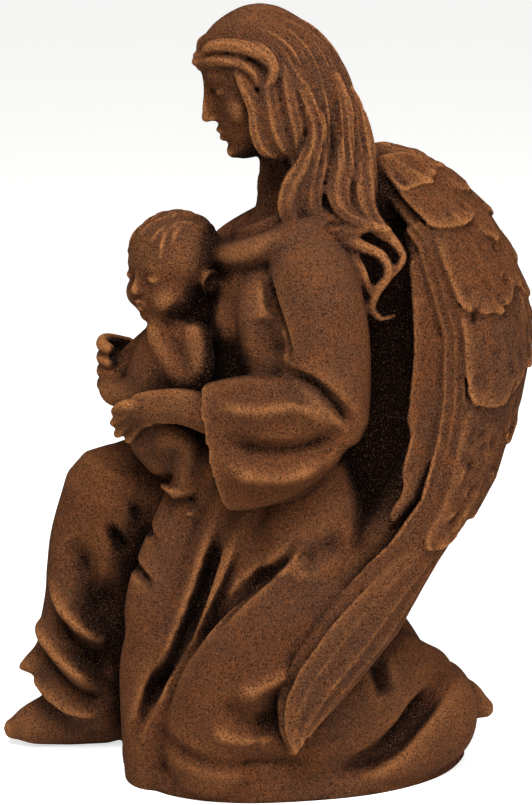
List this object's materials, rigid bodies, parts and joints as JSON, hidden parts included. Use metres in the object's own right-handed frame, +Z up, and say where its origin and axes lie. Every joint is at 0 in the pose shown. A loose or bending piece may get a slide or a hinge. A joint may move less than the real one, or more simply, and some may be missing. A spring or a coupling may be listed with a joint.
{
  "type": "kneeling angel garden and grave statue",
  "caption": "Cast kneeling angel with folded wings, head bowed over an infant held in both hands, on a low rimmed base.",
  "frame": {"origin": "middle of the flat underside, below the centre of the statue's bounding box", "axes": "+Z up, the figure faces -Y, its left side is +X"},
  "size_m": [0.1254, 0.205, 0.3006],
  "materials": {
    "cast_stone": "coarse matte sandy cast, rust brown, with rubbed orange-tan high spots and dark hollows"
  },
  "bodies": {
    "root": {"kneeling_angel": "cast_stone"}
  },
  "joints": []
}
